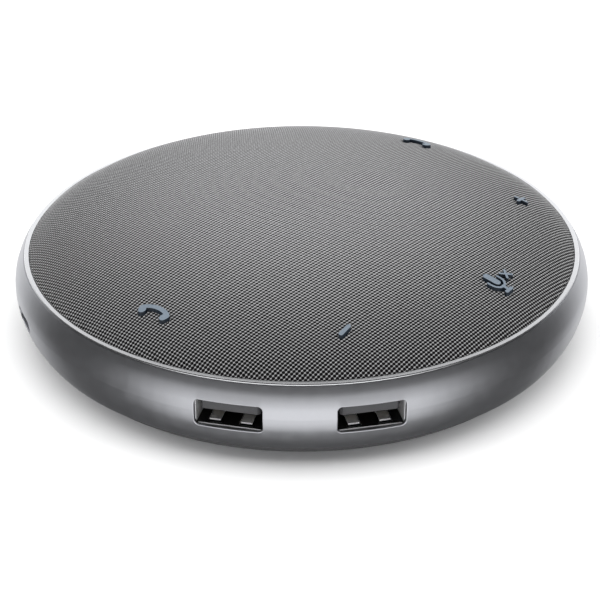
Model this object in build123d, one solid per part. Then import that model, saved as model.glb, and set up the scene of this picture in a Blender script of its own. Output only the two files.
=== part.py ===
from build123d import *

import math
import os

# Conference speakerphone: a low round case of satin aluminium with a cloth-covered speaker dome,
# five raised keys, two USB-A sockets at the front and one USB-C socket at the side.
# Millimetres. Z is up, the table is z = 0, the origin is under the middle of the foot,
# and the two USB-A sockets face -Y.

# ---- Driving dimensions -------------------------------------------------------------------
# Case ring
CASE_R = 60.0            # widest radius of the ring
CASE_WIDEST_Z = 10.7     # height of the widest line
CASE_BOTTOM_R = 57.5     # outer radius at the ring's lower edge
CASE_BOTTOM_Z = 2.9      # the ring's lower edge above the table
RIM_Z = 17.0             # top of the polished rim
RIM_INSET = 2.35         # how far the rim's outer edge lies inside the widest line
WALL = 1.6               # case ring wall
LIP_WIDTH = 3.4          # inward lip at the ring's lower edge
LIP_T = 1.4
# Polished trim ring
TRIM_W = 1.05            # width of the trim ring's flat top
TRIM_T = 0.4             # thickness of its top flange
TRIM_LEG_T = 0.5         # thickness of the leg inside the case ring
TRIM_LEG_H = 2.0
TRIM_BEVEL = 0.13
# Cloth-covered dome
DOME_H = 8.2             # dome height above the rim
SHOULDER_H = 1.9         # part of the dome height taken by its rounded shoulder
CLOTH_T = 0.35
GRILLE_T = 1.2
# Base
COVER_R = 54.6           # bottom cover and foot ring
COVER_T = 1.6
COVER_LIFT = 0.7         # cover's underside above the table
FOOT_T = 1.5
FOOT_W = 7.6
# Boards and middle frame
BOARD_TOP_Z = 7.85       # main board's upper face, which carries the sockets
BOARD_T = 1.6
BOARD_R = 54.5
FRAME_TOP_Z = 13.9       # middle frame's upper face, which carries the key board
FRAME_T = 1.2
FRAME_R = 56.0
KEY_BOARD_T = 0.8
KEY_BOARD_IN = 41.0
KEY_BOARD_OUT = 51.0
# Keys
KEY_R = 47.4             # radius of the circle that the keys lie on
KEY_PITCH = 45.0         # degrees between neighbouring keys
READ_AZ = -35.1          # the key symbols read upright from this side
KEY_TRAVEL = 0.4
KEY_PROUD = 0.55         # symbols stand this far above the cloth
KEY_PLATE_R = 4.6
KEY_PLATE_T = 1.0
KEY_STEM_R = 1.5
SWITCH_H = 1.2
# Sockets
USB_A_SPREAD = 12.7      # degrees from the front line to each USB-A socket
USB_A_SINK = 0.45        # how far the USB-A shells sit down in the board's notches
USB_C_AZ = -158.3
SOCKET_RECESS = 1.4      # socket face behind the widest line
USB_A_W = 13.14          # outer width, height and length of the USB-A shells
USB_A_H = 5.72
USB_A_L = 14.0
USB_C_W = 8.94           # and of the USB-C shell
USB_C_H = 3.16
USB_C_L = 7.3
USB_A_CORNER = 0.9       # corner radius of the USB-A openings in the ring
CUTOUT_EDGE = 0.2        # rounding of each opening's outer edge
SHEET_T = 0.3            # sheet metal of the socket shells
# Loudspeaker
DRIVER_R = 26.9          # flange radius
FLANGE_TOP_Z = 21.0
FLANGE_T = 1.2
CUP_R = 13.0
CUP_BOTTOM_Z = 9.0
CUP_TOP_Z = 14.8
COIL_R = 9.0             # mean radius of the voice coil
CONE_R = DRIVER_R - 9.5
# Fasteners
SCREW_R = 0.95
HEAD_R = 1.7
HEAD_H = 1.3
HEAD_SINK = 0.2          # case screw heads below the cover's underside
TAB_SCREW_L = 2.0        # thread in the ring's tabs, and in the frame's collar
DRIVER_SCREW_L = 4.0
CLEARANCE_HOLE_R = 1.15
PILOT_R = SCREW_R        # the thread bites here, so the shank fills it
CASE_SCREW_R = 38.0      # circle of the screws that close the case
GRILLE_SCREW_R = 33.0    # circle of the screws that hold the dome
TAB_SCREW_R = 53.0       # circle of the screws that hold the frame in the ring
# Clearances
SLIP = 0.05              # between fixed pieces that nest
KEY_GAP = 0.15           # round each raised symbol
PLATE_GAP = 0.3          # between a key's plate and the dome above it
PLUG_GAP = 0.12          # between a socket's bore and the opening in front of it
COIL_GAP = 0.4           # each side of the voice coil

# ---- Derived places ------------------------------------------------------------------------
RIM_R = CASE_R - RIM_INSET
TRIM_IN_R = RIM_R - TRIM_W + TRIM_BEVEL
CLOTH_R = TRIM_IN_R - SLIP
TRIM_OUT_R = TRIM_IN_R + TRIM_W
TRIM_SEAT_Z = RIM_Z - TRIM_T
SEAT_IN_R = CASE_R - 6
DOME_DEPTH_IN = CLOTH_T + GRILLE_T
KEY_AZIMUTHS = {
    "answer_key": READ_AZ - 2 * KEY_PITCH,
    "volume_down_key": READ_AZ - KEY_PITCH,
    "mute_key": READ_AZ,
    "volume_up_key": READ_AZ + KEY_PITCH,
    "hang_up_key": READ_AZ + 2 * KEY_PITCH,
}
TAB_AZIMUTHS = [READ_AZ - KEY_PITCH / 2 + 90 * k for k in range(4)]
CASE_SCREW_AZIMUTHS = [azimuth - KEY_PITCH for azimuth in TAB_AZIMUTHS]
USB_A_AZIMUTHS = {"left": -90 - USB_A_SPREAD, "right": -90 + USB_A_SPREAD}
USB_A_Z = BOARD_TOP_Z - USB_A_SINK + USB_A_H / 2
USB_C_Z = BOARD_TOP_Z + USB_C_H / 2
SOCKET_FACE = CASE_R - SOCKET_RECESS
FRAME_BOTTOM_Z = FRAME_TOP_Z - FRAME_T
KEY_BOARD_TOP_Z = FRAME_TOP_Z + KEY_BOARD_T
SWITCH_TOP_Z = KEY_BOARD_TOP_Z + SWITCH_H
KEY_STEM_Z = SWITCH_TOP_Z + KEY_TRAVEL + SLIP
PLATE_DEPTH = DOME_DEPTH_IN + PLATE_GAP
COVER_TOP_Z = CASE_BOTTOM_Z
COVER_FLOOR_Z = COVER_LIFT + COVER_T
BOARD_BOTTOM_Z = BOARD_TOP_Z - BOARD_T


# ---- Helpers -------------------------------------------------------------------------------
def turned(profile):
    """Solid of revolution of a profile drawn in the XZ plane."""
    return revolve(profile, axis=Axis.Z)


def ring(r_in, r_out, z_low, z_high):
    """Plain ring, or a disc when r_in is 0."""
    corners = [(r_in, 0, z_low), (r_out, 0, z_low), (r_out, 0, z_high), (r_in, 0, z_high)]
    return turned(make_face(Polyline(*corners, close=True)))


def post(x, y, radius, z_low, z_high):
    """Upright round bar."""
    return Pos(x, y, (z_low + z_high) / 2) * Cylinder(radius, z_high - z_low)


def polar(radius, azimuth):
    return radius * math.cos(math.radians(azimuth)), radius * math.sin(math.radians(azimuth))


def facing(azimuth, height=0.0):
    """Frame whose +X points outwards at an azimuth."""
    return Location((0, 0, height), (0, 0, azimuth))


def combined(solids):
    """Separate solids kept side by side in one node."""
    return Compound(children=[piece for solid in solids for piece in solid.solids()])


# ---- The case ring and its trim ------------------------------------------------------------
def bulge(drop, rise):
    """Radius of the arc that leaves the widest line upright and ends drop inside it, rise away."""
    return (drop * drop + rise * rise) / (2 * drop)


def bulge_inset(radius, rise):
    """How far such an arc lies inside the widest line at a given rise."""
    return radius - math.sqrt(radius * radius - rise * rise)


UPPER_BULGE = bulge(RIM_INSET, RIM_Z - CASE_WIDEST_Z)
LOWER_BULGE = bulge(CASE_R - CASE_BOTTOM_R, CASE_WIDEST_Z - CASE_BOTTOM_Z)


def case_side():
    """Side of the ring from its lower edge to the trim's seat, as two tangent arcs."""
    top_r = CASE_R - bulge_inset(UPPER_BULGE, TRIM_SEAT_Z - CASE_WIDEST_Z)
    widest = (CASE_R, 0, CASE_WIDEST_Z)
    up = Vector(0, 0, 1)
    lower = TangentArc(widest, (CASE_BOTTOM_R, 0, CASE_BOTTOM_Z), tangent=-up)
    upper = TangentArc(widest, (top_r, 0, TRIM_SEAT_Z), tangent=up)
    return lower, upper, top_r


def housing_ring():
    lower, upper, top_r = case_side()
    bore_r = TRIM_IN_R + TRIM_LEG_T + SLIP
    wall_r = CASE_R - WALL
    lip_in = CASE_BOTTOM_R - LIP_WIDTH - WALL
    lip_top = CASE_BOTTOM_Z + LIP_T
    inside = Polyline(
        (top_r, 0, TRIM_SEAT_Z),
        (bore_r, 0, TRIM_SEAT_Z),
        (bore_r, 0, TRIM_SEAT_Z - TRIM_LEG_H),
        (wall_r - 0.4, 0, CASE_WIDEST_Z + 2),
        (wall_r, 0, CASE_WIDEST_Z),
        (wall_r - 0.9, 0, lip_top + 2),
        (wall_r - 2.4, 0, lip_top),
        (lip_in, 0, lip_top),
        (lip_in, 0, CASE_BOTTOM_Z),
        (CASE_BOTTOM_R, 0, CASE_BOTTOM_Z),
    )
    body = turned(make_face([*inside.edges(), lower.edge(), upper.edge()]))
    for azimuth in TAB_AZIMUTHS:
        body += ring_tab(azimuth)
    for azimuth in USB_A_AZIMUTHS.values():
        body -= cutout(azimuth, USB_A_Z, USB_A_W, USB_A_H, USB_A_CORNER)
    body -= cutout(USB_C_AZ, USB_C_Z, USB_C_W, USB_C_H, (USB_C_H - 2 * SHEET_T) / 2)
    body = fillet(opening_rims(body), CUTOUT_EDGE)
    for azimuth in TAB_AZIMUTHS:
        x, y = polar(TAB_SCREW_R, azimuth)
        body -= post(x, y, PILOT_R, FRAME_BOTTOM_Z - TAB_SCREW_L, FRAME_BOTTOM_Z)
    return body


def ring_tab(azimuth):
    """Tab inside the ring that the middle frame is screwed down on."""
    tab_in = TAB_SCREW_R - 2.4
    tab_out = CASE_R - WALL + 0.5
    length = tab_out - tab_in
    return facing(azimuth, FRAME_BOTTOM_Z - 1.2) * Pos(tab_in + length / 2, 0, 0) * Box(length, 6.0, 2.4)


def cutout(azimuth, height, width, tall, corner):
    """Opening in the ring's wall as large as a socket's bore, and the seat behind it for the shell."""
    smaller = 2 * (SHEET_T - PLUG_GAP)
    outline = RectangleRounded(width - smaller, tall - smaller, corner)
    plane = Plane(origin=(0, 0, height), x_dir=(0, 1, 0), z_dir=(1, 0, 0))
    seat_l = SOCKET_FACE + SLIP - SEAT_IN_R
    seat = Pos(SEAT_IN_R + seat_l / 2, 0, height) * Box(seat_l, width + 2 * SLIP, tall + 2 * SLIP)
    opening = plane.offset(SEAT_IN_R) * extrude(outline, CASE_R + 1 - SEAT_IN_R)
    return facing(azimuth) * (opening + seat)


def side_radius(z):
    """Radius of the ring's outside at a height."""
    arc_r = UPPER_BULGE if z > CASE_WIDEST_Z else LOWER_BULGE
    return CASE_R - bulge_inset(arc_r, z - CASE_WIDEST_Z)


def opening_rims(body):
    """Edges of the socket openings on the ring's outside, without the arcs of its widest line."""
    rims = []
    for azimuth in (*USB_A_AZIMUTHS.values(), USB_C_AZ):
        x, y = polar(CASE_R, azimuth)
        for edge in body.edges():
            middle = edge.center()
            near = math.hypot(middle.X - x, middle.Y - y) < 0.7 * USB_A_W
            outside = abs(math.hypot(middle.X, middle.Y) - side_radius(middle.Z)) < SLIP
            if near and outside and abs(middle.Z - CASE_WIDEST_Z) > SLIP:
                rims.append(edge)
    return rims


def trim_ring():
    profile = Polyline(
        (TRIM_IN_R, 0, TRIM_SEAT_Z - TRIM_LEG_H),
        (TRIM_IN_R + TRIM_LEG_T, 0, TRIM_SEAT_Z - TRIM_LEG_H),
        (TRIM_IN_R + TRIM_LEG_T, 0, TRIM_SEAT_Z),
        (TRIM_OUT_R, 0, TRIM_SEAT_Z),
        (TRIM_OUT_R, 0, RIM_Z - TRIM_BEVEL),
        (TRIM_OUT_R - TRIM_BEVEL, 0, RIM_Z),
        (TRIM_IN_R + TRIM_BEVEL, 0, RIM_Z),
        (TRIM_IN_R, 0, RIM_Z - TRIM_BEVEL),
        close=True,
    )
    return turned(make_face(profile))


# ---- The dome: cloth, grille and the keys that come through them ----------------------------
def crown_height(radius, depth):
    """Height of the dome's layer at a depth under the cloth's outer face."""
    share = radius / (CLOTH_R - depth)
    crown = (DOME_H - SHOULDER_H) * (1 - share ** 2.7)
    shoulder = SHOULDER_H * (1 - share ** 16)
    return RIM_Z - depth + crown + shoulder


def crown_solid(depth, floor_z):
    """Everything under one layer of the dome, down to a flat floor."""
    edge_r = CLOTH_R - depth
    shares = (0, 0.3, 0.5, 0.65, 0.77, 0.86, 0.92, 0.965, 1)
    points = [(share * edge_r, 0, crown_height(share * edge_r, depth)) for share in shares]
    top = Spline(*points, tangents=[(1, 0, 0), (0.77, 0, -0.64)])
    sides = Polyline(points[-1], (edge_r, 0, floor_z), (0, 0, floor_z), points[0])
    return turned(make_face([top.edge(), *sides.edges()]))


def stroke(x0, y0, x1, y1, width):
    """Round-ended bar of a key symbol."""
    length = math.hypot(x1 - x0, y1 - y0)
    angle = math.degrees(math.atan2(y1 - y0, x1 - x0))
    place = Location(((x0 + x1) / 2, (y0 + y1) / 2, 0), (0, 0, angle))
    return place * SlotCenterToCenter(length, width)


def symbol_handset(x, y, grow):
    """Telephone handset standing on end: a curved grip with an ear cup at each end."""
    grip = CenterArc((x - 5.0, y), 5.4, -30, 60)
    shape = SlotArc(grip, 0.95 + 2 * grow)
    for side in (-1, 1):
        shape += stroke(x - 1.25, y + side * 2.55, x - 0.75, y + side * 2.75, 1.5 + 2 * grow)
    return shape


def symbol_minus(x, y, grow):
    return stroke(x - 1.25, y, x + 1.25, y, 0.85 + 2 * grow)


def symbol_plus(x, y, grow):
    bar = 0.65 + 2 * grow
    return stroke(x - 1.35, y, x + 1.35, y, bar) + stroke(x, y - 1.35, x, y + 1.35, bar)


def symbol_muted_microphone(x, y, grow):
    """Capsule in a cradle on a small stand, with a cross beside it."""
    mic_x = x - 1.45
    cross_x, cross_y, arm = x + 2.4, y + 0.25, 0.85
    thin = 0.5 + 2 * grow
    shape = stroke(mic_x, y + 0.1, mic_x, y + 2.3, 1.55 + 2 * grow)
    shape += SlotArc(CenterArc((mic_x, y + 0.3), 1.75, 180, 180), thin)
    shape += stroke(mic_x - 1.75, y + 0.3, mic_x - 1.75, y + 1.0, thin)
    shape += stroke(mic_x + 1.75, y + 0.3, mic_x + 1.75, y + 1.0, thin)
    shape += stroke(mic_x, y - 1.4, mic_x, y - 2.6, 0.7 + 2 * grow)
    shape += stroke(mic_x - 0.9, y - 2.7, mic_x + 0.9, y - 2.7, 0.7 + 2 * grow)
    for side in (-1, 1):
        shape += stroke(cross_x - arm, cross_y - side * arm, cross_x + arm, cross_y + side * arm, thin)
    return shape


SYMBOLS = {
    "answer_key": (symbol_handset, -0.2, -0.4),
    "volume_down_key": (symbol_minus, 0, 0),
    "mute_key": (symbol_muted_microphone, 0, 0),
    "volume_up_key": (symbol_plus, 0, 0),
    "hang_up_key": (symbol_handset, -1.1, 0),
}


def symbol_column(name, grow):
    """A key's symbol as an upright column, taller than the dome."""
    draw, x, y = SYMBOLS[name]
    key_x, key_y = polar(KEY_R, KEY_AZIMUTHS[name])
    place = Location((key_x, key_y, KEY_STEM_Z), (0, 0, READ_AZ + 90))
    return extrude(place * draw(x, y, grow), DOME_H + RIM_Z, dir=(0, 0, 1))


def key(name):
    """Silicone key: raised symbol, plate under the dome and a stem over its switch."""
    x, y = polar(KEY_R, KEY_AZIMUTHS[name])
    floor_z = FRAME_TOP_Z
    plate_top = crown_solid(PLATE_DEPTH, floor_z)
    plate_low = crown_solid(PLATE_DEPTH + KEY_PLATE_T, floor_z)
    plate_mid = crown_solid(PLATE_DEPTH + KEY_PLATE_T / 2, floor_z)
    column = post(x, y, KEY_PLATE_R, floor_z - 1, RIM_Z + DOME_H)
    plate = (column & plate_top) - plate_low
    symbol = (symbol_column(name, 0) & crown_solid(-KEY_PROUD, floor_z)) - plate_mid
    stem = post(x, y, KEY_STEM_R, KEY_STEM_Z, RIM_Z + DOME_H) & plate_mid
    return plate + symbol + stem


def speaker_cloth():
    skirt_z = TRIM_SEAT_Z - TRIM_LEG_H / 2
    cloth = crown_solid(0, skirt_z) - crown_solid(CLOTH_T, skirt_z - 1)
    for name in SYMBOLS:
        cloth -= symbol_column(name, KEY_GAP)
    return cloth


GRILLE_RINGS = {0: 1, 4: 6, 8: 12, 12: 18, 16: 24, 20: 30}
GRILLE_HOLE_R = 1.1
GRILLE_BOSS_R = 2.6
GRILLE_SCREW_L = 5.0     # thread of the screws in the dome's bosses
GASKET_T = 0.8
GASKET_IN = CONE_R + 4.2
GASKET_OUT = GASKET_IN + 1.4
MIC_PORT_R = 0.6


def grille_dome():
    """Stiff perforated shell that the cloth is stretched over."""
    inner = crown_solid(DOME_DEPTH_IN, FRAME_TOP_Z - 1)
    dome = crown_solid(CLOTH_T, FRAME_TOP_Z) - inner
    filled = crown_solid(CLOTH_T + GRILLE_T / 2, FRAME_TOP_Z)
    rib = ring(GASKET_IN, GASKET_OUT, FLANGE_TOP_Z + GASKET_T, RIM_Z + DOME_H) & filled
    dome += rib
    for azimuth in TAB_AZIMUTHS:
        x, y = polar(GRILLE_SCREW_R, azimuth)
        dome += post(x, y, GRILLE_BOSS_R, FRAME_TOP_Z, RIM_Z + DOME_H) & filled
        dome -= post(x, y, PILOT_R, FRAME_TOP_Z - 1, FRAME_TOP_Z + GRILLE_SCREW_L)
    holes = []
    for radius, count in GRILLE_RINGS.items():
        for k in range(count):
            x, y = polar(radius, 360 * k / count)
            holes.append(post(x, y, GRILLE_HOLE_R, FLANGE_TOP_Z, RIM_Z + DOME_H + 1))
    for azimuth in TAB_AZIMUTHS:
        x, y = polar(KEY_R, azimuth)
        holes.append(post(x, y, MIC_PORT_R, FRAME_TOP_Z, RIM_Z + DOME_H + 1))
    dome -= holes
    for name in SYMBOLS:
        dome -= symbol_column(name, KEY_GAP)
    return dome


# ---- Key board, switches and microphones -----------------------------------------------------
MIC_L, MIC_W, MIC_H = 3.8, 3.0, 1.1
SWITCH_W = 4.0
HEADER_AZ, HEADER_R = 144.6, 46.0
HEADER_L, HEADER_W = 10.0, 2.4


def key_board():
    return ring(KEY_BOARD_IN, KEY_BOARD_OUT, FRAME_TOP_Z, KEY_BOARD_TOP_Z)


def key_switches():
    """Tactile switches: a square body with a round metal dome cap."""
    switches = []
    body_h = SWITCH_H * 0.75
    for azimuth in KEY_AZIMUTHS.values():
        place = facing(azimuth, KEY_BOARD_TOP_Z) * Pos(KEY_R, 0, 0)
        body = place * Pos(0, 0, body_h / 2) * Box(SWITCH_W, SWITCH_W, body_h)
        switches.append(body + place * Pos(0, 0, SWITCH_H / 2) * Cylinder(KEY_STEM_R, SWITCH_H))
    return combined(switches)


def microphones():
    mics = []
    for azimuth in TAB_AZIMUTHS:
        block = Pos(KEY_R, 0, MIC_H / 2) * Box(MIC_W, MIC_L, MIC_H)
        port = Pos(KEY_R, 0, MIC_H) * Cylinder(MIC_PORT_R / 2, MIC_H)
        mics.append(facing(azimuth, KEY_BOARD_TOP_Z) * (block - port))
    return combined(mics)


def microphone_boots():
    """Rubber tubes that seal each microphone's port to its hole in the dome."""
    under_dome = crown_solid(DOME_DEPTH_IN + SLIP, FRAME_TOP_Z)
    boots = []
    for azimuth in TAB_AZIMUTHS:
        x, y = polar(KEY_R, azimuth)
        low = KEY_BOARD_TOP_Z + MIC_H
        tube = post(x, y, 1.4, low, RIM_Z + DOME_H) - post(x, y, MIC_PORT_R, low - 1, RIM_Z + DOME_H + 1)
        boots.append(tube & under_dome)
    return combined(boots)


def board_header():
    """Pin header that joins the key board to the main board."""
    height = FRAME_TOP_Z - BOARD_TOP_Z
    block = Box(HEADER_W, HEADER_L, height)
    return facing(HEADER_AZ, BOARD_TOP_Z + height / 2) * Pos(HEADER_R, 0, 0) * block


# ---- Middle frame ----------------------------------------------------------------------------
FRAME_BORE_R = DRIVER_R - 4.7
COLLAR_T = 4.4
SOCKET_NOTCH_R = 43.5


def middle_frame():
    """Plastic frame: plate on the ring's tabs, collar for the driver, posts down to the board."""
    flange_z = FLANGE_TOP_Z - FLANGE_T
    frame = ring(FRAME_BORE_R, FRAME_R, FRAME_BOTTOM_Z, FRAME_TOP_Z)
    frame += ring(FRAME_BORE_R, FRAME_BORE_R + COLLAR_T, FRAME_BOTTOM_Z, flange_z)
    for azimuth in CASE_SCREW_AZIMUTHS:
        x, y = polar(CASE_SCREW_R, azimuth)
        frame += post(x, y, 3.0, BOARD_TOP_Z, FRAME_BOTTOM_Z + 0.1)
        frame -= post(x, y, PILOT_R, BOARD_TOP_Z - 1, CASE_SCREW_TOP_Z)
    for azimuth in TAB_AZIMUTHS:
        x, y = polar(TAB_SCREW_R, azimuth)
        frame -= post(x, y, CLEARANCE_HOLE_R, FRAME_BOTTOM_Z - 1, FRAME_TOP_Z + 1)
        x, y = polar(GRILLE_SCREW_R, azimuth)
        frame -= post(x, y, CLEARANCE_HOLE_R, FRAME_BOTTOM_Z - 1, FRAME_TOP_Z + 1)
    for azimuth in DRIVER_SCREW_AZIMUTHS:
        x, y = polar(DRIVER_SCREW_R, azimuth)
        frame -= post(x, y, PILOT_R, flange_z - DRIVER_SCREW_L, flange_z + 1)
    depth = FRAME_R + 2 - SOCKET_NOTCH_R
    for azimuth in USB_A_AZIMUTHS.values():
        notch = Box(depth, USB_A_W + 2, 2 * FRAME_T)
        frame -= facing(azimuth, FRAME_BOTTOM_Z) * Pos(SOCKET_NOTCH_R + depth / 2, 0, 0.5) * notch
    slot = Box(HEADER_W + 1, HEADER_L + 1, 4 * FRAME_T)
    frame -= facing(HEADER_AZ, FRAME_BOTTOM_Z) * Pos(HEADER_R, 0, 0) * slot
    return frame


# ---- Loudspeaker ------------------------------------------------------------------------------
DRIVER_SCREW_R = DRIVER_R - HEAD_R - 0.2
BASKET_R = DRIVER_R - 6.9
DRIVER_SCREW_AZIMUTHS = [READ_AZ + 45 + 90 * k for k in range(4)]
BASKET_T = 1.0
BASKET_FOOT_R = CUP_R + 2.6
GAP_IN = COIL_R - 0.275 - COIL_GAP     # pole radius
GAP_OUT = COIL_R + 0.275 + COIL_GAP    # cup bore
PLATE_T = 1.4
CUP_FLOOR_T = 1.4
CONE_LOW_Z = CUP_TOP_Z + 1.9
CONE_TOP_Z = FLANGE_TOP_Z
CONE_T = 0.4
CONE_TRAVEL = 0.6


def speaker_frame():
    """Driver basket: flange, open conical wall and a foot ring on the magnet cup."""
    flange_z = FLANGE_TOP_Z - FLANGE_T
    profile = Polyline(
        (BASKET_R - BASKET_T, 0, FLANGE_TOP_Z),
        (DRIVER_R, 0, FLANGE_TOP_Z),
        (DRIVER_R, 0, flange_z),
        (BASKET_R, 0, flange_z),
        (BASKET_FOOT_R + BASKET_T, 0, CUP_TOP_Z),
        (GAP_OUT + 0.6, 0, CUP_TOP_Z),
        (GAP_OUT + 0.6, 0, CUP_TOP_Z + 0.7),
        (BASKET_FOOT_R, 0, CUP_TOP_Z + 0.7),
        close=True,
    )
    basket = turned(make_face(profile))
    for azimuth in DRIVER_SCREW_AZIMUTHS:
        window = Pos(BASKET_FOOT_R + 3.0, 0, 0) * Box(4.5, 11.0, 2.2)
        basket -= facing(azimuth + 45, (CUP_TOP_Z + flange_z) / 2 + 0.4) * window
        x, y = polar(DRIVER_SCREW_R, azimuth)
        basket -= post(x, y, CLEARANCE_HOLE_R, flange_z - 1, FLANGE_TOP_Z + 1)
    return basket


def magnet_cup():
    cup = ring(0, CUP_R, CUP_BOTTOM_Z, CUP_TOP_Z)
    return cup - ring(0, GAP_OUT, CUP_BOTTOM_Z + CUP_FLOOR_T, CUP_TOP_Z + 1)


def magnet():
    return ring(0, GAP_IN - 0.1, CUP_BOTTOM_Z + CUP_FLOOR_T, CUP_TOP_Z - PLATE_T)


def top_plate():
    return ring(0, GAP_IN, CUP_TOP_Z - PLATE_T, CUP_TOP_Z)


def voice_coil():
    low = CUP_BOTTOM_Z + CUP_FLOOR_T + CONE_TRAVEL + COIL_GAP
    return ring(COIL_R - 0.275, COIL_R + 0.275, low, CONE_LOW_Z)


def speaker_cone():
    profile = Polyline(
        (COIL_R - 0.275, 0, CONE_LOW_Z),
        (COIL_R + 0.8, 0, CONE_LOW_Z),
        (CONE_R, 0, CONE_TOP_Z - CONE_T),
        (CONE_R, 0, CONE_TOP_Z),
        (CONE_R - 0.9, 0, CONE_TOP_Z),
        (COIL_R - 0.275, 0, CONE_LOW_Z + CONE_T),
        close=True,
    )
    return turned(make_face(profile))


def dust_cap():
    """Shallow cap glued over the middle of the cone."""
    cap_r, rise, thin = COIL_R + 0.6, 1.6, 0.3
    base_z = CONE_LOW_Z + CONE_T + 0.5
    ball_r = bulge(rise, cap_r)
    centre = Pos(0, 0, base_z + rise - ball_r)
    shell = centre * Sphere(ball_r) - centre * Sphere(ball_r - thin)
    return shell & ring(0, cap_r, base_z, base_z + rise + 1)


def speaker_surround():
    """Half-roll rubber edge between the cone and the basket."""
    inner, outer = CONE_R + 0.02, GASKET_IN - 0.2
    land = 1.3
    roll_out = outer - land
    roll_mid = (inner + roll_out) / 2
    roll_r = (roll_out - inner) / 2
    low = FLANGE_TOP_Z
    thin = 0.3
    top = ThreePointArc((inner, 0, low), (roll_mid, 0, low + roll_r), (roll_out, 0, low + thin))
    crown = (roll_mid, 0, low + roll_r - thin)
    under = ThreePointArc((inner + thin, 0, low), crown, (roll_out - thin, 0, low))
    land_end = [(roll_out, 0, low + thin), (outer, 0, low + thin), (outer, 0, low)]
    rest = Polyline(*land_end, (roll_out - thin, 0, low))
    foot = Line((inner, 0, low), (inner + thin, 0, low))
    return turned(make_face([top.edge(), *rest.edges(), under.edge(), foot.edge()]))


def spider():
    """Corrugated disc that centres the coil; three shallow waves."""
    inner, outer = COIL_R + 0.3, BASKET_FOOT_R
    low, thin = CUP_TOP_Z + 0.72, 0.3
    waves = 3
    count = 2 * waves
    step = (outer - 0.8 - inner) / count
    crest = [(inner + k * step, 0, low + (0.5 if k % 2 else 0.0)) for k in range(count + 1)]
    upper = [(x, y, z + thin) for x, y, z in crest]
    loop = crest + [(outer - 0.05, 0, low), (outer - 0.05, 0, low + thin)] + upper[::-1]
    return turned(make_face(Polyline(*loop, close=True)))


def speaker_gasket():
    """Foam ring between the driver's flange and the rib under the dome."""
    return ring(GASKET_IN, GASKET_OUT, FLANGE_TOP_Z, FLANGE_TOP_Z + GASKET_T)


# ---- Main board and what stands on it ---------------------------------------------------------
CASE_SCREW_TOP_Z = FRAME_BOTTOM_Z - 0.6


def main_board():
    board = ring(0, BOARD_R, BOARD_BOTTOM_Z, BOARD_TOP_Z)
    for azimuth in CASE_SCREW_AZIMUTHS:
        x, y = polar(CASE_SCREW_R, azimuth)
        board -= post(x, y, CLEARANCE_HOLE_R, BOARD_BOTTOM_Z - 1, BOARD_TOP_Z + 1)
    notch_in = SOCKET_FACE - USB_A_L - SLIP
    notch_l = BOARD_R + 1 - notch_in
    for azimuth in USB_A_AZIMUTHS.values():
        notch = Pos(notch_in + notch_l / 2, 0, 0) * Box(notch_l, USB_A_W + 2 * SLIP, 3 * BOARD_T)
        board -= facing(azimuth, BOARD_TOP_Z) * notch
    return board


def chip(radius, azimuth, length, width, height):
    place = facing(azimuth, BOARD_TOP_Z + height / 2) * Pos(radius, 0, 0)
    return place * Box(width, length, height)


def capacitors():
    cans = []
    for azimuth in (100, 112, 176, 188):
        x, y = polar(28, azimuth)
        cans.append(post(x, y, 2.5, BOARD_TOP_Z, BOARD_TOP_Z + 4.2))
    return combined(cans)


def power_coils():
    return combined([chip(26, azimuth, 5, 5, 2.8) for azimuth in (-8, 8)])


def speaker_contacts():
    """Two spring legs that stand on the board and press on the driver's terminals."""
    legs = []
    for side in (-1, 1):
        x, y = polar(CUP_R + 3.4, 190 + side * 12)
        legs.append(post(x, y, 0.6, BOARD_TOP_Z, CUP_TOP_Z))
    return combined(legs)


# ---- Sockets ----------------------------------------------------------------------------------
def shell_tube(width, tall, corner, length):
    """Sheet-metal tube along +X with its face at x = 0 and its back at -length."""
    side = Plane(origin=(-length, 0, 0), x_dir=(0, 1, 0), z_dir=(1, 0, 0))
    outer = extrude(side * RectangleRounded(width, tall, corner), length)
    inner_w, inner_h = width - 2 * SHEET_T, tall - 2 * SHEET_T
    bore = extrude(side * RectangleRounded(inner_w, inner_h, corner - SHEET_T), length)
    return outer - bore


WING_L = 5.0             # solder wings that carry the shell on the board
WING_W = 1.6
SPRING_X = 2.95          # spring tabs either side of the socket's middle
SPRING_W = 2.1
SPRING_SLOT = 0.35
SPRING_FRONT = 1.0       # behind the shell's face: the leaf's free end, bend and root
SPRING_FLAT = 3.5
SPRING_ROOT = 6.0
SPRING_RISE = 0.45
USB_TONGUE_W = USB_A_W - 2 * SHEET_T - 1.44
USB_TONGUE_T = 1.84
USB_TONGUE_RECESS = 0.7
USB_TONGUE_DROP = 0.66   # from the shell's ceiling down to the tongue


def usb_a_shell():
    shell = shell_tube(USB_A_W, USB_A_H, 0.55, USB_A_L)
    inner_floor = SHEET_T - USB_A_H / 2
    for face in (-1, 1):
        for side in (-1, 1):
            y = side * SPRING_X
            slot_l = SPRING_ROOT - SPRING_FRONT + SPRING_SLOT
            slot = Box(slot_l, SPRING_W + 2 * SPRING_SLOT, 2 * SHEET_T)
            shell -= Pos(slot_l / 2 - SPRING_ROOT, y, face * (USB_A_H - SHEET_T) / 2) * slot
            tab = spring_tab(inner_floor)
            if face > 0:
                tab = Rot(180, 0, 0) * tab
            shell += Pos(0, y, 0) * tab
    wing_z = USB_A_SINK + SHEET_T / 2 - USB_A_H / 2
    for side in (-1, 1):
        y = side * (USB_A_W + WING_W - SHEET_T) / 2
        shell += Pos(WING_L / 2 - USB_A_L, y, wing_z) * Box(WING_L, WING_W + SHEET_T, SHEET_T)
    return shell


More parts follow.
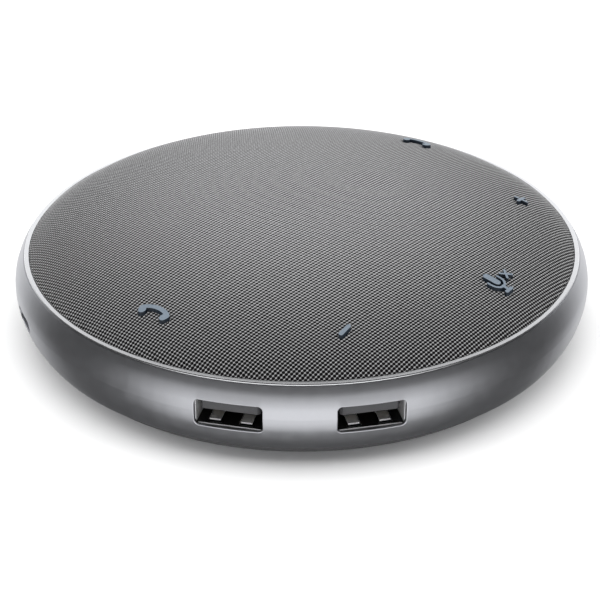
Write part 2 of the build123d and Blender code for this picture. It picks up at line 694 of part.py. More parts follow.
def spring_tab(inner_floor):
    """Leaf cut from the shell's wall: root at the back, raised flat end at the front."""
    low, high = inner_floor - SHEET_T, inner_floor
    profile = Polyline(
        (-SPRING_ROOT - 0.3, 0, low),
        (-SPRING_ROOT, 0, low),
        (-SPRING_FLAT, 0, low + SPRING_RISE),
        (-SPRING_FRONT, 0, low + SPRING_RISE),
        (-SPRING_FRONT, 0, high + SPRING_RISE),
        (-SPRING_FLAT, 0, high + SPRING_RISE),
        (-SPRING_ROOT, 0, high),
        (-SPRING_ROOT - 0.3, 0, high),
        close=True,
    )
    return extrude(make_face(profile), SPRING_W / 2, dir=(0, 1, 0), both=True)


def usb_a_tongue():
    """Insulator block at the back of the shell with the contact tongue in front of it."""
    inner_w, inner_h = USB_A_W - 2 * SHEET_T - SLIP, USB_A_H - 2 * SHEET_T - SLIP
    block_l = 4.2
    block = Pos(-USB_A_L + 0.4 + block_l / 2, 0, 0) * Box(block_l, inner_w, inner_h)
    block = fillet(block.edges().filter_by(Axis.X), 0.3)
    tongue_l = USB_A_L - 0.4 - USB_TONGUE_RECESS
    tongue_top = USB_A_H / 2 - SHEET_T - USB_TONGUE_DROP
    tongue = Pos(-USB_TONGUE_RECESS - tongue_l / 2, 0, tongue_top - USB_TONGUE_T / 2) * Box(
        tongue_l, USB_TONGUE_W, USB_TONGUE_T)
    front = tongue.edges().filter_by(Axis.Z).sort_by(Axis.X)[-2:]
    tongue = chamfer(front, 0.4)
    return block + tongue


def usb_a_contacts():
    """Four contact strips on the underside of the tongue."""
    tongue_low = USB_A_H / 2 - SHEET_T - USB_TONGUE_DROP - USB_TONGUE_T
    strips = []
    front, back = USB_TONGUE_RECESS + 1.0, USB_A_L - 4.6
    width, thick = 1.0, 0.2
    for y in (-3.5, -1.0, 1.0, 3.5):
        strip = Box(back - front, width, thick)
        strips.append(Pos(-(front + back) / 2, y, tongue_low - thick / 2) * strip)
    return combined(strips)


def usb_c_shell():
    return shell_tube(USB_C_W, USB_C_H, USB_C_H / 2 - 0.01, USB_C_L)


def usb_c_tongue():
    inner_w, inner_h = USB_C_W - 2 * SHEET_T - SLIP, USB_C_H - 2 * SHEET_T - SLIP
    side = Plane(origin=(-USB_C_L + 0.2, 0, 0), x_dir=(0, 1, 0), z_dir=(1, 0, 0))
    block = extrude(side * RectangleRounded(inner_w, inner_h, inner_h / 2 - 0.01), 1.6)
    return block + Pos(-USB_C_L + 0.2 + 3.3, 0, 0) * Box(6.2, 6.7, 0.7)


def socketed(piece, azimuth, height):
    """Put a piece drawn with its face at x = 0 at its place in the case."""
    return facing(azimuth, height) * Pos(SOCKET_FACE, 0, 0) * piece


# ---- Base ----------------------------------------------------------------------------------------
BOSS_R = 3.2


def bottom_cover():
    rib_out = CASE_BOTTOM_R - LIP_WIDTH - WALL - SLIP
    rib_in = rib_out - 1.2
    foot_in = COVER_R - FOOT_W
    profile = Polyline(
        (0, 0, COVER_LIFT),
        (foot_in - SLIP, 0, COVER_LIFT),
        (foot_in - SLIP, 0, FOOT_T),
        (COVER_R, 0, FOOT_T),
        (COVER_R, 0, COVER_TOP_Z),
        (rib_out, 0, COVER_TOP_Z),
        (rib_out, 0, COVER_TOP_Z + LIP_T),
        (rib_in, 0, COVER_TOP_Z + LIP_T),
        (rib_in, 0, COVER_TOP_Z),
        (foot_in - 1.5, 0, COVER_TOP_Z),
        (foot_in - 2.1, 0, COVER_FLOOR_Z),
        (0, 0, COVER_FLOOR_Z),
        close=True,
    )
    cover = turned(make_face(profile))
    for azimuth in CASE_SCREW_AZIMUTHS:
        x, y = polar(CASE_SCREW_R, azimuth)
        cover += post(x, y, BOSS_R, COVER_FLOOR_Z - 0.1, BOARD_BOTTOM_Z)
        cover -= post(x, y, CLEARANCE_HOLE_R, 0, BOARD_BOTTOM_Z + 1)
        cover -= post(x, y, HEAD_R + 0.3, 0, COVER_LIFT + HEAD_H + HEAD_SINK)
    return cover


def foot_ring():
    """Rubber ring the case stands on."""
    low_bevel = 0.25
    r_in, r_out = COVER_R - FOOT_W, COVER_R
    profile = Polyline(
        (r_in + low_bevel, 0, 0),
        (r_out - low_bevel, 0, 0),
        (r_out, 0, low_bevel),
        (r_out, 0, FOOT_T),
        (r_in, 0, FOOT_T),
        (r_in, 0, low_bevel),
        close=True,
    )
    return turned(make_face(profile))


# ---- Screws --------------------------------------------------------------------------------------
def screws(circle_r, azimuths, seat_z, tip_z):
    """Pan-head screws: the head lies on seat_z and the shank runs to tip_z, up or down."""
    direction = 1 if tip_z > seat_z else -1
    head_z = seat_z - direction * HEAD_H
    group = []
    for azimuth in azimuths:
        x, y = polar(circle_r, azimuth)
        head = post(x, y, HEAD_R, min(seat_z, head_z), max(seat_z, head_z))
        shank = post(x, y, SCREW_R, min(tip_z, head_z), max(tip_z, head_z))
        recess = Pos(x, y, head_z) * (Box(2.0, 0.5, 1.0) + Box(0.5, 2.0, 1.0))
        group.append(head + shank - recess)
    return combined(group)


# ---- Assembly --------------------------------------------------------------------------------------
def pieces():
    yield "housing_ring", housing_ring()
    yield "trim_ring", trim_ring()
    yield "speaker_cloth", speaker_cloth()
    yield "grille_dome", grille_dome()
    for name in SYMBOLS:
        yield name, key(name)
    yield "key_board", key_board()
    yield "key_switches", key_switches()
    yield "microphones", microphones()
    yield "microphone_boots", microphone_boots()
    yield "board_header", board_header()
    yield "middle_frame", middle_frame()
    yield "speaker_frame", speaker_frame()
    yield "magnet_cup", magnet_cup()
    yield "magnet", magnet()
    yield "top_plate", top_plate()
    yield "voice_coil", voice_coil()
    yield "speaker_cone", speaker_cone()
    yield "dust_cap", dust_cap()
    yield "speaker_surround", speaker_surround()
    yield "spider", spider()
    yield "speaker_gasket", speaker_gasket()
    yield "main_board", main_board()
    yield "usb_hub_chip", chip(31, -45, 9, 9, 1.0)
    yield "audio_chip", chip(31, 40, 7, 7, 0.9)
    yield "capacitors", capacitors()
    yield "power_coils", power_coils()
    yield "speaker_contacts", speaker_contacts()
    for side, azimuth in USB_A_AZIMUTHS.items():
        yield f"usb_a_{side}_shell", socketed(usb_a_shell(), azimuth, USB_A_Z)
        yield f"usb_a_{side}_tongue", socketed(usb_a_tongue(), azimuth, USB_A_Z)
        yield f"usb_a_{side}_contacts", socketed(usb_a_contacts(), azimuth, USB_A_Z)
    yield "usb_c_shell", socketed(usb_c_shell(), USB_C_AZ, USB_C_Z)
    yield "usb_c_tongue", socketed(usb_c_tongue(), USB_C_AZ, USB_C_Z)
    yield "bottom_cover", bottom_cover()
    yield "foot_ring", foot_ring()
    case_seat_z = COVER_LIFT + HEAD_H + HEAD_SINK
    yield "case_screws", screws(CASE_SCREW_R, CASE_SCREW_AZIMUTHS, case_seat_z, CASE_SCREW_TOP_Z)
    tab_tip_z = FRAME_BOTTOM_Z - TAB_SCREW_L
    yield "frame_screws", screws(TAB_SCREW_R, TAB_AZIMUTHS, FRAME_TOP_Z, tab_tip_z)
    boss_tip_z = FRAME_TOP_Z + GRILLE_SCREW_L
    yield "grille_screws", screws(GRILLE_SCREW_R, TAB_AZIMUTHS, FRAME_BOTTOM_Z, boss_tip_z)
    collar_tip_z = FLANGE_TOP_Z - FLANGE_T - DRIVER_SCREW_L
    yield "driver_screws", screws(DRIVER_SCREW_R, DRIVER_SCREW_AZIMUTHS, FLANGE_TOP_Z, collar_tip_z)


os.makedirs("parts", exist_ok=True)
for node, piece in pieces():
    export_step(piece, f"parts/{node}.step")
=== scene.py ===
import bpy
import math
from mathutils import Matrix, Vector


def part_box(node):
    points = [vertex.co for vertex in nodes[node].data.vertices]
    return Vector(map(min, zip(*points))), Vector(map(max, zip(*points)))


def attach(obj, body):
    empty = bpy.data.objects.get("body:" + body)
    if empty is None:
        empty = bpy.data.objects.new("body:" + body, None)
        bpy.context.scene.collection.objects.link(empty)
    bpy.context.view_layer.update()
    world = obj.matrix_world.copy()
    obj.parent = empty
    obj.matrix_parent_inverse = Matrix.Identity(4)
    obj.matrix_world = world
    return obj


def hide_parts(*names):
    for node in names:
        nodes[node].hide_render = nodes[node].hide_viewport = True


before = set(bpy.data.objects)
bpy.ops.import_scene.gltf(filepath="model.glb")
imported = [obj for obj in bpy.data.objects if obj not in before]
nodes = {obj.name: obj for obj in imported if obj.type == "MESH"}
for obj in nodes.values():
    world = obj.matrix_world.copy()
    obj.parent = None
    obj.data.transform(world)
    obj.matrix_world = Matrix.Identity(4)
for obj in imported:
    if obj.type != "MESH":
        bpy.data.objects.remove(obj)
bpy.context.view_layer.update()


# ---- Table, camera and light -------------------------------------------------------------------
# A pale table top under soft studio light. A wide overhead softbox lights the dome; the room is
# bright in front and behind and dim at the sides, which gives the satin ring its soft bands.
def deselect():
    bpy.ops.object.select_all(action="DESELECT")


def math_node(tree, operation, first, second=0.0):
    """A Math node that takes sockets or plain numbers."""
    node = tree.nodes.new("ShaderNodeMath")
    node.operation = operation
    for place, value in enumerate((first, second)):
        if isinstance(value, (int, float)):
            node.inputs[place].default_value = value
        else:
            tree.links.new(value, node.inputs[place])
    return node.outputs[0]


def soft_step(tree, value, start, end, low=0.0, high=1.0):
    """Smooth change from low at start to high at end."""
    node = tree.nodes.new("ShaderNodeMapRange")
    node.interpolation_type = "SMOOTHSTEP"
    flipped = start > end
    bounds = (end, start, high, low) if flipped else (start, end, low, high)
    for place, number in enumerate(bounds, 1):
        node.inputs[place].default_value = number
    tree.links.new(value, node.inputs[0])
    return node.outputs[0]


deselect()
bpy.ops.mesh.primitive_plane_add(size=8, location=(0, 0, 0))
table = bpy.context.object
table.name = "table_top"
table.visible_glossy = False
paint = bpy.data.materials.new("pale_table")
paint.use_nodes = True
shader = paint.node_tree.nodes["Principled BSDF"]
shader.inputs["Base Color"].default_value = (0.88, 0.88, 0.88, 1)
shader.inputs["Roughness"].default_value = 0.9
shader.inputs["Specular IOR Level"].default_value = 0.1
table.data.materials.append(paint)

RIM_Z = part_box("trim_ring")[1].z
CAMERA_REACH = 0.3402       # from the middle of the rim
CAMERA_RISE = 0.47625       # its elevation there
CAMERA_PITCH = CAMERA_RISE + 0.0401     # it looks a little in front of the middle
CAMERA_TURN = math.radians(0.3)
camera = bpy.data.cameras.new("camera")
camera.sensor_width = 36
camera.lens = 96.99
camera.shift_x = -0.0029
camera.shift_y = 0.0023
viewer = bpy.data.objects.new("camera", camera)
bpy.context.scene.collection.objects.link(viewer)
back = CAMERA_REACH * math.cos(CAMERA_RISE)
viewer.location = (
    back * math.sin(CAMERA_TURN),
    -back * math.cos(CAMERA_TURN),
    RIM_Z + CAMERA_REACH * math.sin(CAMERA_RISE),
)
viewer.rotation_euler = (math.pi / 2 - CAMERA_PITCH, 0, CAMERA_TURN)
bpy.context.scene.camera = viewer
bpy.context.scene.view_settings.view_transform = "Standard"


def softbox(name, size, place, power):
    """Square area light that looks at the object and does not show in its reflections."""
    light = bpy.data.lights.new(name, "AREA")
    light.size = size
    light.energy = power
    lamp = bpy.data.objects.new(name, light)
    lamp.visible_glossy = False
    bpy.context.scene.collection.objects.link(lamp)
    lamp.location = place
    aim = Vector((0, 0, 0.01)) - lamp.location
    lamp.rotation_euler = aim.to_track_quat("-Z", "Y").to_euler()


softbox("overhead_softbox", 1.0, (0.0, 0.1, 0.9), 10)
softbox("left_softbox", 0.9, (-0.8, 0.1, 0.42), 6.5)
softbox("right_softbox", 0.9, (0.8, 0.1, 0.42), 6.5)
softbox("socket_softbox", 0.2, (0.0, -0.6, 0.35), 0.25)

ROOM_DIM = 0.085            # brightness at the sides, and what the front and back add to it
ROOM_FRONT = 1.25
ROOM_BACK = 1.15
world = bpy.data.worlds.new("studio")
bpy.context.scene.world = world
world.use_nodes = True
world.cycles.sampling_method = "NONE"
sky = world.node_tree
toward = sky.nodes.new("ShaderNodeTexCoord").outputs["Generated"]
split = sky.nodes.new("ShaderNodeSeparateXYZ")
sky.links.new(toward, split.inputs[0])
height = split.outputs[2]
height_squared = math_node(sky, "MULTIPLY", height, height)
level = math_node(sky, "SQRT", math_node(sky, "SUBTRACT", 1.001, height_squared))
behind = math_node(sky, "DIVIDE", split.outputs[1], level)
front = soft_step(sky, behind, -0.3, -0.85)
front = math_node(sky, "MULTIPLY", front, soft_step(sky, height, 0.5, -0.1))
front = math_node(sky, "MULTIPLY", front, soft_step(sky, height, -0.93, -0.62))
rear = soft_step(sky, behind, 0.3, 0.85)
rear = math_node(sky, "MULTIPLY", rear, soft_step(sky, height, 0.6, 0.44))
rear = math_node(sky, "MULTIPLY", rear, soft_step(sky, height, -0.75, -0.45))
glow = math_node(sky, "MULTIPLY", front, ROOM_FRONT)
glow = math_node(sky, "ADD", glow, math_node(sky, "MULTIPLY", rear, ROOM_BACK))
glow = math_node(sky, "ADD", glow, ROOM_DIM)
sky.links.new(glow, sky.nodes["Background"].inputs["Strength"])
sky.nodes["Background"].inputs["Color"].default_value = (0.985, 0.99, 1.0, 1)


# ---- Case ring ---------------------------------------------------------------------------------
# The round outer case, turned from aluminium, bead-blasted and anodised mid grey. Its grain is a
# fine matt sparkle; the socket openings have a small rounded edge.
def finish(name, light, dark, roughness, metallic=0.0, grain=5000.0, depth=1e-5, spread=0.05):
    """Surface with two close colours and a roughness that follow a fine grain, and a bump."""
    material = bpy.data.materials.new(name)
    material.use_nodes = True
    tree = material.node_tree
    surface = tree.nodes["Principled BSDF"]
    surface.inputs["Metallic"].default_value = metallic
    place = tree.nodes.new("ShaderNodeTexCoord").outputs["Object"]
    cloud = tree.nodes.new("ShaderNodeTexNoise")
    cloud.inputs["Scale"].default_value = grain / 20
    cloud.inputs["Detail"].default_value = 6
    speck = tree.nodes.new("ShaderNodeTexNoise")
    speck.inputs["Scale"].default_value = grain
    speck.inputs["Detail"].default_value = 3
    tree.links.new(place, cloud.inputs["Vector"])
    tree.links.new(place, speck.inputs["Vector"])
    grains = math_node(tree, "ADD", cloud.outputs[0], speck.outputs[0])
    blend = math_node(tree, "MULTIPLY", grains, 0.5)
    ramp = tree.nodes.new("ShaderNodeValToRGB")
    ramp.color_ramp.elements[0].position = 0.35
    ramp.color_ramp.elements[0].color = (*dark, 1)
    ramp.color_ramp.elements[1].position = 0.65
    ramp.color_ramp.elements[1].color = (*light, 1)
    tree.links.new(blend, ramp.inputs[0])
    tree.links.new(ramp.outputs[0], surface.inputs["Base Color"])
    matt = soft_step(tree, blend, 0.3, 0.7, roughness - spread, roughness + spread)
    tree.links.new(matt, surface.inputs["Roughness"])
    bump = tree.nodes.new("ShaderNodeBump")
    bump.inputs["Distance"].default_value = depth
    tree.links.new(speck.outputs[0], bump.inputs["Height"])
    tree.links.new(bump.outputs[0], surface.inputs["Normal"])
    return material


def dress(material, *names):
    """Gives CAD pieces their finish."""
    for name in names:
        nodes[name].data.materials.clear()
        nodes[name].data.materials.append(material)


satin = finish("satin_aluminium", (0.56, 0.565, 0.59), (0.52, 0.525, 0.55),
               0.36, 1.0, 9000, 4e-6, 0.03)
dress(satin, "housing_ring")


# ---- Trim ring ---------------------------------------------------------------------------------
# A thin diamond-cut ring round the cloth's edge, bright, with bevelled edges. It presses the
# cloth down and is glued into the case ring.
polished = finish("polished_trim", (0.82, 0.825, 0.84), (0.78, 0.785, 0.8),
                  0.18, 1.0, 12000, 1e-6, 0.03)
dress(polished, "trim_ring")


# ---- Keys --------------------------------------------------------------------------------------
# Five blue-grey silicone keys. Only their raised symbols come up through the cloth: their tops
# keep the rubber's colour, and their sides are painted dark as shade.
def key_finish():
    """Silicone with painted shade: darker where it does not face up."""
    material = finish("key_rubber", (0.16, 0.194, 0.232), (0.13, 0.16, 0.195),
                      0.55, 0.0, 6000, 1.5e-5)
    tree = material.node_tree
    surface = tree.nodes["Principled BSDF"]
    rubber_colour = surface.inputs["Base Color"].links[0].from_socket
    normal = tree.nodes.new("ShaderNodeNewGeometry").outputs["Normal"]
    split = tree.nodes.new("ShaderNodeSeparateXYZ")
    tree.links.new(normal, split.inputs[0])
    # painted shade: faces that do not look up turn near-black blue, upward faces keep the rubber's
    # colour
    mix = tree.nodes.new("ShaderNodeMix")
    mix.data_type = "RGBA"
    mix.inputs["A"].default_value = (0.014, 0.022, 0.034, 1)
    tree.links.new(soft_step(tree, split.outputs[2], 0.35, 0.8), mix.inputs["Factor"])
    tree.links.new(rubber_colour, mix.inputs["B"])
    tree.links.new(mix.outputs["Result"], surface.inputs["Base Color"])
    return material


KEYS = ("answer_key", "volume_down_key", "mute_key", "volume_up_key", "hang_up_key")
dress(key_finish(), *KEYS)


# ---- Speaker cloth -----------------------------------------------------------------------------
# An open grey weave stretched over the dome, tucked down behind the trim ring and cut out round
# each key symbol. Every gap between its threads is a pit in the mesh.
CLOTH_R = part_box("speaker_cloth")[1].x
DOME_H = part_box("speaker_cloth")[1].z - RIM_Z
SHOULDER_H = 0.0019         # the part of the dome's height that falls away near the edge
WEAVE_TURN = math.radians(50.4)
CELLS_ACROSS = 74.56        # threads from the middle out to WEAVE_R, at the middle's pitch
WEAVE_R = 0.0567
SKIRT_CELLS = 1.8           # how much of the cloth turns down behind the trim
SKIRT_PITCH = 0.00055
SQUEEZE = (0.107, 0.017)    # threads lie closer towards the edge
HOLE_DEPTH = 0.0004
THREAD_DIP = 0.00003        # threads between crossings, one way and the other
CROSS_DIP = 0.00008
PHASE = (0.6, 0.64)         # where the first gap lies, in threads from the middle
EDGE_SNAP = 0.26            # threads this close to the edge lie on it
OUTLINE_REACH = 0.24 * WEAVE_R / CELLS_ACROSS


def threads_at(radius):
    """Count of threads from the middle out to a radius."""
    share = radius / WEAVE_R
    return CELLS_ACROSS * share * (1 + SQUEEZE[0] * share ** 2 + SQUEEZE[1] * share ** 4)


def radius_at(threads):
    """Inverse of threads_at, by a few Newton steps."""
    share = threads / CELLS_ACROSS
    for step in range(6):
        error = threads_at(share * WEAVE_R) - threads
        growth = 1 + 3 * SQUEEZE[0] * share ** 2 + 5 * SQUEEZE[1] * share ** 4
        share -= error / (CELLS_ACROSS * growth)
    return share * WEAVE_R


def dome(radius):
    """Height and slope of the cloth."""
    share = min(radius / CLOTH_R, 1.0)
    crown, shoulder = DOME_H - SHOULDER_H, SHOULDER_H
    high = RIM_Z + crown * (1 - share ** 2.7) + shoulder * (1 - share ** 16)
    slope = -(2.7 * crown * share ** 1.7 + 16 * shoulder * share ** 15) / CLOTH_R
    return high, slope


READ_TURN = math.radians(54.9)
STROKE_GAP = 0.0001         # room meant to be left round each symbol
SYMBOL_ROOM = 0.0055        # each symbol lies within this of its key's middle


def arc_points(x, y, radius, start, sweep):
    """Points along an arc; like all of the symbols, in millimetres from the key's middle."""
    count = 8
    angles = [math.radians(start + sweep * k / count) for k in range(count + 1)]
    return [(x + radius * math.cos(a), y + radius * math.sin(a)) for a in angles]


def handset(x, y):
    """Curved grip with an ear cup at each end."""
    ends = [([(x - 1.25, y + s * 2.55), (x - 0.75, y + s * 2.75)], 1.5) for s in (-1, 1)]
    return [(arc_points(x - 5.0, y, 5.4, -30, 60), 0.95), *ends]


def muted_microphone():
    """Capsule in a cradle on a small stand, with a cross beside it."""
    m = -1.45
    strokes = [([(m, 0.1), (m, 2.3)], 1.55), (arc_points(m, 0.3, 1.75, 180, 180), 0.5)]
    strokes += [([(m + s * 1.75, 0.3), (m + s * 1.75, 1.0)], 0.5) for s in (-1, 1)]
    strokes += [([(m, -1.4), (m, -2.6)], 0.7), ([(m - 0.9, -2.7), (m + 0.9, -2.7)], 0.7)]
    return strokes + [([(1.55, 0.25 - s * 0.85), (3.25, 0.25 + s * 0.85)], 0.5) for s in (-1, 1)]


SYMBOL_STROKES = {
    "answer_key": handset(-0.2, -0.4),
    "volume_down_key": [([(-1.25, 0), (1.25, 0)], 0.85)],
    "mute_key": muted_microphone(),
    "volume_up_key": [([(-1.35, 0), (1.35, 0)], 0.65), ([(0, -1.35), (0, 1.35)], 0.65)],
    "hang_up_key": handset(-1.1, 0),
}
key_middles = {name: sum(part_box(name), Vector()) / 2 for name in KEYS}


def stroke_distance(point, stroke):
    """Distance from a point to a round-ended stroke's outline, negative inside, in millimetres."""
    path, width = stroke
    nearest = 1e9
    for (x0, y0), (x1, y1) in zip(path, path[1:]):
        along_x, along_y = x1 - x0, y1 - y0
        from_x, from_y = point[0] - x0, point[1] - y0
        share = (from_x * along_x + from_y * along_y) / (along_x ** 2 + along_y ** 2)
        share = min(max(share, 0), 1)
        nearest = min(nearest, math.hypot(from_x - share * along_x, from_y - share * along_y))
    return nearest - width / 2


def symbol_distance(x, y):
    """Distance in metres to the nearest key symbol's outline, or a large number away from all."""
    for name, middle in key_middles.items():
        away_x, away_y = x - middle.x, y - middle.y
        if math.hypot(away_x, away_y) < SYMBOL_ROOM:
            turn_x = away_x * math.cos(READ_TURN) + away_y * math.sin(READ_TURN)
            turn_y = away_y * math.cos(READ_TURN) - away_x * math.sin(READ_TURN)
            point = (turn_x * 1000, turn_y * 1000)
            nearest = min(stroke_distance(point, s) for s in SYMBOL_STROKES[name])
            return nearest / 1000 - STROKE_GAP
    return 1.0


def pulled_to_outline(x, y, reach):
    """Moves a point near a symbol's outline onto it; returns the place and its distance."""
    away = symbol_distance(x, y)
    if abs(away) > reach:
        return x, y, away
    tiny = 1e-6
    for step in range(3):
        grad_x = (symbol_distance(x + tiny, y) - away) / tiny
        grad_y = (symbol_distance(x, y + tiny) - away) / tiny
        length = max(math.hypot(grad_x, grad_y), 0.5) ** 2
        x, y = x - away * grad_x / length, y - away * grad_y / length
        away = symbol_distance(x, y)
    return x, y, 0.0


EDGE_THREADS = threads_at(CLOTH_R)
half_side = math.ceil(EDGE_THREADS + SKIRT_CELLS) + 1
deselect()
bpy.ops.mesh.primitive_grid_add(
    x_subdivisions=4 * half_side, y_subdivisions=4 * half_side, size=2 * half_side)
cloth = bpy.context.object
cloth.name = "woven_cloth"
mesh = cloth.data
outer, inner = [], []       # past the skirt, and inside or on a symbol's opening
for vertex in mesh.vertices:
    across, up = vertex.co.x, vertex.co.y
    threads = math.hypot(across, up)
    outer.append(threads > EDGE_THREADS + SKIRT_CELLS)
    inner.append(False)
    if outer[-1]:
        continue
    gap_x = round(2 * across) % 2 == 0
    gap_y = round(2 * up) % 2 == 0
    sunk = HOLE_DEPTH if gap_x and gap_y else THREAD_DIP if gap_x else CROSS_DIP if gap_y else 0.0
    place_x, place_y = across + PHASE[0], up + PHASE[1]
    threads = math.hypot(place_x, place_y)
    angle = math.atan2(place_y, place_x) + WEAVE_TURN
    if threads > EDGE_THREADS - EDGE_SNAP:
        drop = max(threads - EDGE_THREADS - EDGE_SNAP, 0) * SKIRT_PITCH
        vertex.co = (CLOTH_R * math.cos(angle), CLOTH_R * math.sin(angle), RIM_Z - drop)
        continue
    radius = radius_at(threads)
    x, y = radius * math.cos(angle), radius * math.sin(angle)
    x, y, away = pulled_to_outline(x, y, OUTLINE_REACH)
    inner[-1] = away <= 0
    if abs(away) < OUTLINE_REACH:
        sunk = max(sunk * 0.5, CROSS_DIP)
    radius, angle = math.hypot(x, y), math.atan2(y, x)
    high, slope = dome(radius)
    lean = math.hypot(1, slope)
    radius += sunk * slope / lean
    vertex.co = (radius * math.cos(angle), radius * math.sin(angle), high - sunk / lean)

mesh.uv_layers.active.name = "OFBake"
bpy.ops.object.mode_set(mode="EDIT")
bpy.ops.mesh.select_mode(type="FACE")
bpy.ops.mesh.select_all(action="DESELECT")
bpy.ops.object.mode_set(mode="OBJECT")
for face in mesh.polygons:
    hidden = all(inner[v] for v in face.vertices)
    face.select = hidden or any(outer[v] for v in face.vertices)
bpy.ops.object.mode_set(mode="EDIT")
bpy.ops.mesh.delete(type="FACE")
bpy.ops.object.mode_set(mode="OBJECT")
bpy.ops.object.shade_smooth()


def woven():
    """Grey threads with near-black gaps, for the black grille beneath and painted shade; the threads
    of one direction lie on top, painted shade darkens the others between crossings, and the gaps grow
    towards the edge as painted shade.
    """
    material = bpy.data.materials.new("woven_grey_cloth")
    material.use_nodes = True
    tree = material.node_tree
    surface = tree.nodes["Principled BSDF"]
    surface.inputs["Roughness"].default_value = 0.72
    surface.inputs["Sheen Weight"].default_value = 0.12
    surface.inputs["Specular IOR Level"].default_value = 0.2
    uv = tree.nodes.new("ShaderNodeUVMap")
    uv.uv_map = "OFBake"
    cells = tree.nodes.new("ShaderNodeMapping")
    cells.inputs["Scale"].default_value = (2 * half_side, 2 * half_side, 1)
    tree.links.new(uv.outputs[0], cells.inputs["Vector"])
    split = tree.nodes.new("ShaderNodeSeparateXYZ")
    tree.links.new(cells.outputs[0], split.inputs[0])
    off = [math_node(tree, "PINGPONG", split.outputs[k], 0.5) for k in (0, 1)]
    square = [math_node(tree, "MULTIPLY", side, side) for side in off]
    away = math_node(tree, "SQRT", math_node(tree, "ADD", *square))
    middle = tree.nodes.new("ShaderNodeVectorMath")
    middle.operation = "DISTANCE"
    middle.inputs[1].default_value = (0.5, 0.5, 0)
    tree.links.new(uv.outputs[0], middle.inputs[0])
    # painted shade: the gaps are drawn larger towards the cloth's edge, so the cloth darkens there
    edge_shade_growth = soft_step(tree, middle.outputs["Value"], 0.05, 0.5, 1.0, 0.78)
    away = math_node(tree, "MULTIPLY", away, edge_shade_growth)
    # the gaps are painted near-black: partly the black grille seen through them, partly painted shade
    gap_grille_shade = soft_step(tree, away, 0.41, 0.33)
    # painted shade: threads of one direction are darker between the crossings, where they lie lower
    lower_thread_shade = soft_step(tree, off[0], 0.25, 0.45)
    lower_thread_shade = math_node(tree, "MULTIPLY", lower_thread_shade, soft_step(tree, off[1], 0.42, 0.2))
    fibre = tree.nodes.new("ShaderNodeTexNoise")
    fibre.inputs["Scale"].default_value = 0.7
    fibre.inputs["Detail"].default_value = 5
    tree.links.new(cells.outputs[0], fibre.inputs["Vector"])
    shade = tree.nodes.new("ShaderNodeValToRGB")
    shade.color_ramp.elements[0].position = 0.3
    shade.color_ramp.elements[0].color = (0.27, 0.27, 0.274, 1)
    shade.color_ramp.elements[1].position = 0.7
    shade.color_ramp.elements[1].color = (0.36, 0.36, 0.366, 1)
    tree.links.new(fibre.outputs[0], shade.inputs[0])
    colour = shade.outputs[0]
    layers = ((lower_thread_shade, (0.15, 0.15, 0.153, 1)), (gap_grille_shade, (0.0015, 0.0015, 0.0015, 1)))
    for factor, low in layers:
        mix = tree.nodes.new("ShaderNodeMix")
        mix.data_type = "RGBA"
        mix.inputs["B"].default_value = low
        tree.links.new(factor, mix.inputs["Factor"])
        tree.links.new(colour, mix.inputs["A"])
        colour = mix.outputs["Result"]
    tree.links.new(colour, surface.inputs["Base Color"])
    bump = tree.nodes.new("ShaderNodeBump")
    bump.inputs["Distance"].default_value = 0.00006
    bump.inputs["Strength"].default_value = 0.6
    tree.links.new(soft_step(tree, away, 0.2, 0.5), bump.inputs["Height"])
    tree.links.new(bump.outputs[0], surface.inputs["Normal"])
    return material


cloth.data.materials.append(woven())
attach(cloth, "case")
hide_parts("speaker_cloth")


# ---- Dome grille -------------------------------------------------------------------------------
# The stiff black moulding that carries the cloth, with holes over the loudspeaker and small ports
# for the microphones. It is screwed to the middle frame.
black_moulding = finish("grille_plastic", (0.02, 0.02, 0.022), (0.014, 0.014, 0.016),
                        0.6, 0.0, 4000, 2e-5)
dress(black_moulding, "grille_dome")


# ---- Key board and microphones -----------------------------------------------------------------
# A ring-shaped circuit board with five click switches and four microphones in rubber boots. It
# lies on the middle frame and plugs down to the main board.
board_green = finish("circuit_board", (0.02, 0.11, 0.06), (0.012, 0.075, 0.04), 0.4, 0.0, 3000, 8e-6)
plated = finish("switch_metal", (0.62, 0.62, 0.6), (0.5, 0.5, 0.48), 0.3, 1.0, 6000, 4e-6)
epoxy = finish("chip_black", (0.03, 0.03, 0.03), (0.018, 0.018, 0.019), 0.55, 0.0, 8000, 8e-6)
soft_rubber = finish("surround_rubber", (0.03, 0.03, 0.03), (0.018, 0.018, 0.018),
                     0.65, 0.0, 5000, 1e-5)
dress(board_green, "key_board", "main_board")
dress(plated, "key_switches", "microphones")
dress(soft_rubber, "microphone_boots", "speaker_surround")
dress(epoxy, "board_header", "usb_hub_chip", "audio_chip", "power_coils")


# ---- Middle frame ------------------------------------------------------------------------------
# A moulded plate screwed to tabs inside the case ring. Its collar holds the loudspeaker, and its
# posts take the four case screws.
grey_moulding = finish("frame_plastic", (0.05, 0.05, 0.055), (0.035, 0.035, 0.04),
                       0.55, 0.0, 4000, 1.5e-5)
dress(grey_moulding, "middle_frame")


# ---- Loudspeaker -------------------------------------------------------------------------------
# A 54 mm driver: pressed steel basket and magnet cup, paper cone and dust cap on a copper coil,
# a rubber surround, a spider and a foam gasket.
pressed_steel = finish("speaker_steel", (0.46, 0.47, 0.48), (0.36, 0.37, 0.38),
                       0.38, 1.0, 5000, 5e-6)
pulp = finish("cone_paper", (0.06, 0.06, 0.06), (0.035, 0.035, 0.035), 0.8, 0.0, 2500, 4e-5)
dress(pressed_steel, "speaker_frame", "magnet_cup", "top_plate")
dress(finish("magnet_black", (0.3, 0.3, 0.31), (0.22, 0.22, 0.23), 0.3, 1.0, 4000, 5e-6), "magnet")
dress(finish("coil_copper", (0.72, 0.38, 0.2), (0.6, 0.3, 0.15), 0.35, 1.0, 9000, 1e-5), "voice_coil")
dress(pulp, "speaker_cone", "dust_cap", "spider")
dress(finish("foam", (0.05, 0.05, 0.05), (0.02, 0.02, 0.02), 0.95, 0.0, 2500, 1e-4), "speaker_gasket")


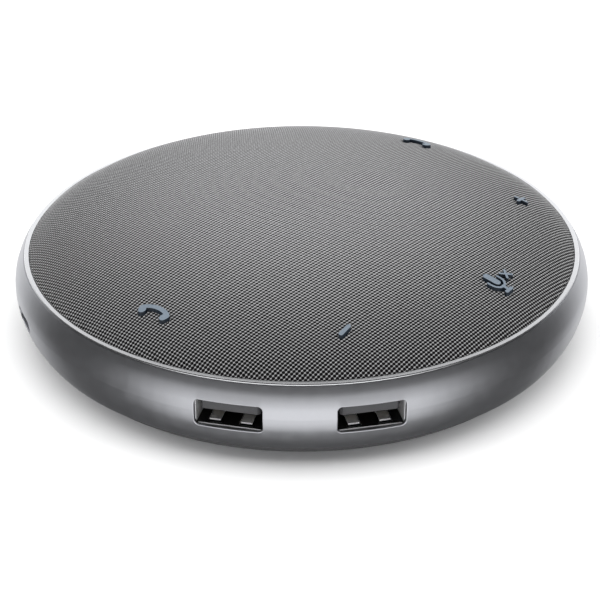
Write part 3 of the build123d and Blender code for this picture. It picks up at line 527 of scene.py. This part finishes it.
# ---- Main board's parts ------------------------------------------------------------------------
# Capacitor cans, and gilt spring legs that press on the loudspeaker's terminals.
gilt = finish("contact_gold", (0.8, 0.6, 0.27), (0.7, 0.5, 0.2), 0.28, 1.0, 9000, 3e-6)
dress(finish("capacitor_can", (0.7, 0.7, 0.7), (0.6, 0.6, 0.6), 0.3, 1.0, 6000, 4e-6), "capacitors")
dress(gilt, "speaker_contacts", "usb_a_left_contacts", "usb_a_right_contacts")


# ---- Sockets -----------------------------------------------------------------------------------
# Nickel-plated sheet shells with spring leaves, black insulator tongues and gilt contacts. They
# are soldered to the main board just behind the openings in the ring.
LEAF_Z = 0.008              # the spring leaves lie higher than this, the shells' floors lower


def shell_finish():
    """Bright spring leaves; the floors between them are painted dark as shade, and the front rims are
    made nearly non-metal as a painted highlight.
    """
    material = finish("socket_steel", (0.95, 0.95, 0.96), (0.86, 0.86, 0.87),
                      0.42, 0.5, 7000, 3e-6)
    tree = material.node_tree
    surface = tree.nodes["Principled BSDF"]
    bright = surface.inputs["Base Color"].links[0].from_socket
    facing = tree.nodes.new("ShaderNodeSeparateXYZ")
    place = tree.nodes.new("ShaderNodeSeparateXYZ")
    tree.links.new(tree.nodes.new("ShaderNodeNewGeometry").outputs["Normal"], facing.inputs[0])
    tree.links.new(tree.nodes.new("ShaderNodeTexCoord").outputs["Object"], place.inputs[0])
    # painted shade: upward faces below LEAF_Z, the shells' floors, turn near-black
    low = soft_step(tree, place.outputs[2], LEAF_Z + 0.0001, LEAF_Z - 0.0001)
    shaded_floor = math_node(tree, "MULTIPLY", low, soft_step(tree, facing.outputs[2], 0.5, 0.8))
    mix = tree.nodes.new("ShaderNodeMix")
    mix.data_type = "RGBA"
    mix.inputs["B"].default_value = (0.012, 0.012, 0.013, 1)
    tree.links.new(shaded_floor, mix.inputs["Factor"])
    tree.links.new(bright, mix.inputs["A"])
    tree.links.new(mix.outputs["Result"], surface.inputs["Base Color"])
    # painted highlight: faces looking to the front, the rims, turn nearly non-metal so they show
    # bright
    rim = soft_step(tree, facing.outputs[1], -0.92, -0.8, 0.05, 0.6)
    tree.links.new(rim, surface.inputs["Metallic"])
    return material


socket_steel = shell_finish()
insulator = finish("socket_plastic", (0.085, 0.085, 0.09), (0.06, 0.06, 0.065),
                   0.5, 0.0, 6000, 8e-6)
dress(socket_steel, "usb_a_left_shell", "usb_a_right_shell", "usb_c_shell")
dress(insulator, "usb_a_left_tongue", "usb_a_right_tongue", "usb_c_tongue")


# ---- Base and screws ---------------------------------------------------------------------------
# A moulded cover with a fine spark texture closes the case from below. A matt rubber ring is
# glued round it, and blackened screws hold everything together.
spark_texture = finish("cover_plastic", (0.035, 0.035, 0.038), (0.022, 0.022, 0.025),
                       0.62, 0.0, 3500, 3e-5)
foot_rubber = finish("foot_rubber", (0.15, 0.15, 0.153), (0.11, 0.11, 0.113),
                     0.75, 0.0, 3000, 3e-5)
blackened = finish("screw_steel", (0.2, 0.2, 0.21), (0.12, 0.12, 0.13), 0.35, 1.0, 6000, 5e-6)
dress(spark_texture, "bottom_cover")
dress(foot_rubber, "foot_ring")
dress(blackened, "case_screws", "frame_screws", "grille_screws", "driver_screws")
